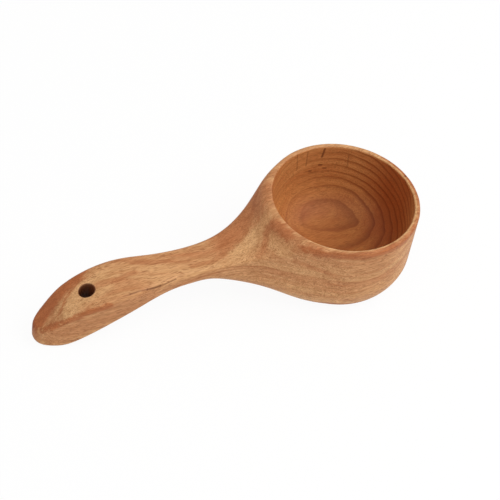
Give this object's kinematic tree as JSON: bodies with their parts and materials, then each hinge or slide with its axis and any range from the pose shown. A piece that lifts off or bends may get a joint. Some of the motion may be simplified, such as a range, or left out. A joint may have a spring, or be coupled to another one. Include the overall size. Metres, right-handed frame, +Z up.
{
  "type": "sauna ladle",
  "caption": "Ladle carved from solid wood: a round straight-walled cup, and a handle that flares from its rim, narrows to a neck and droops to a thick tail bored for hanging.",
  "frame": {"origin": "centre of the cup's foot, on the surface the ladle stands on", "axes": "+Z up along the cup's axis, -X along the handle to its tip, Y across"},
  "size_m": [0.22, 0.085, 0.051],
  "materials": {
    "beech": "sanded and oiled"
  },
  "bodies": {
    "root": {"ladle": "beech"}
  },
  "joints": []
}
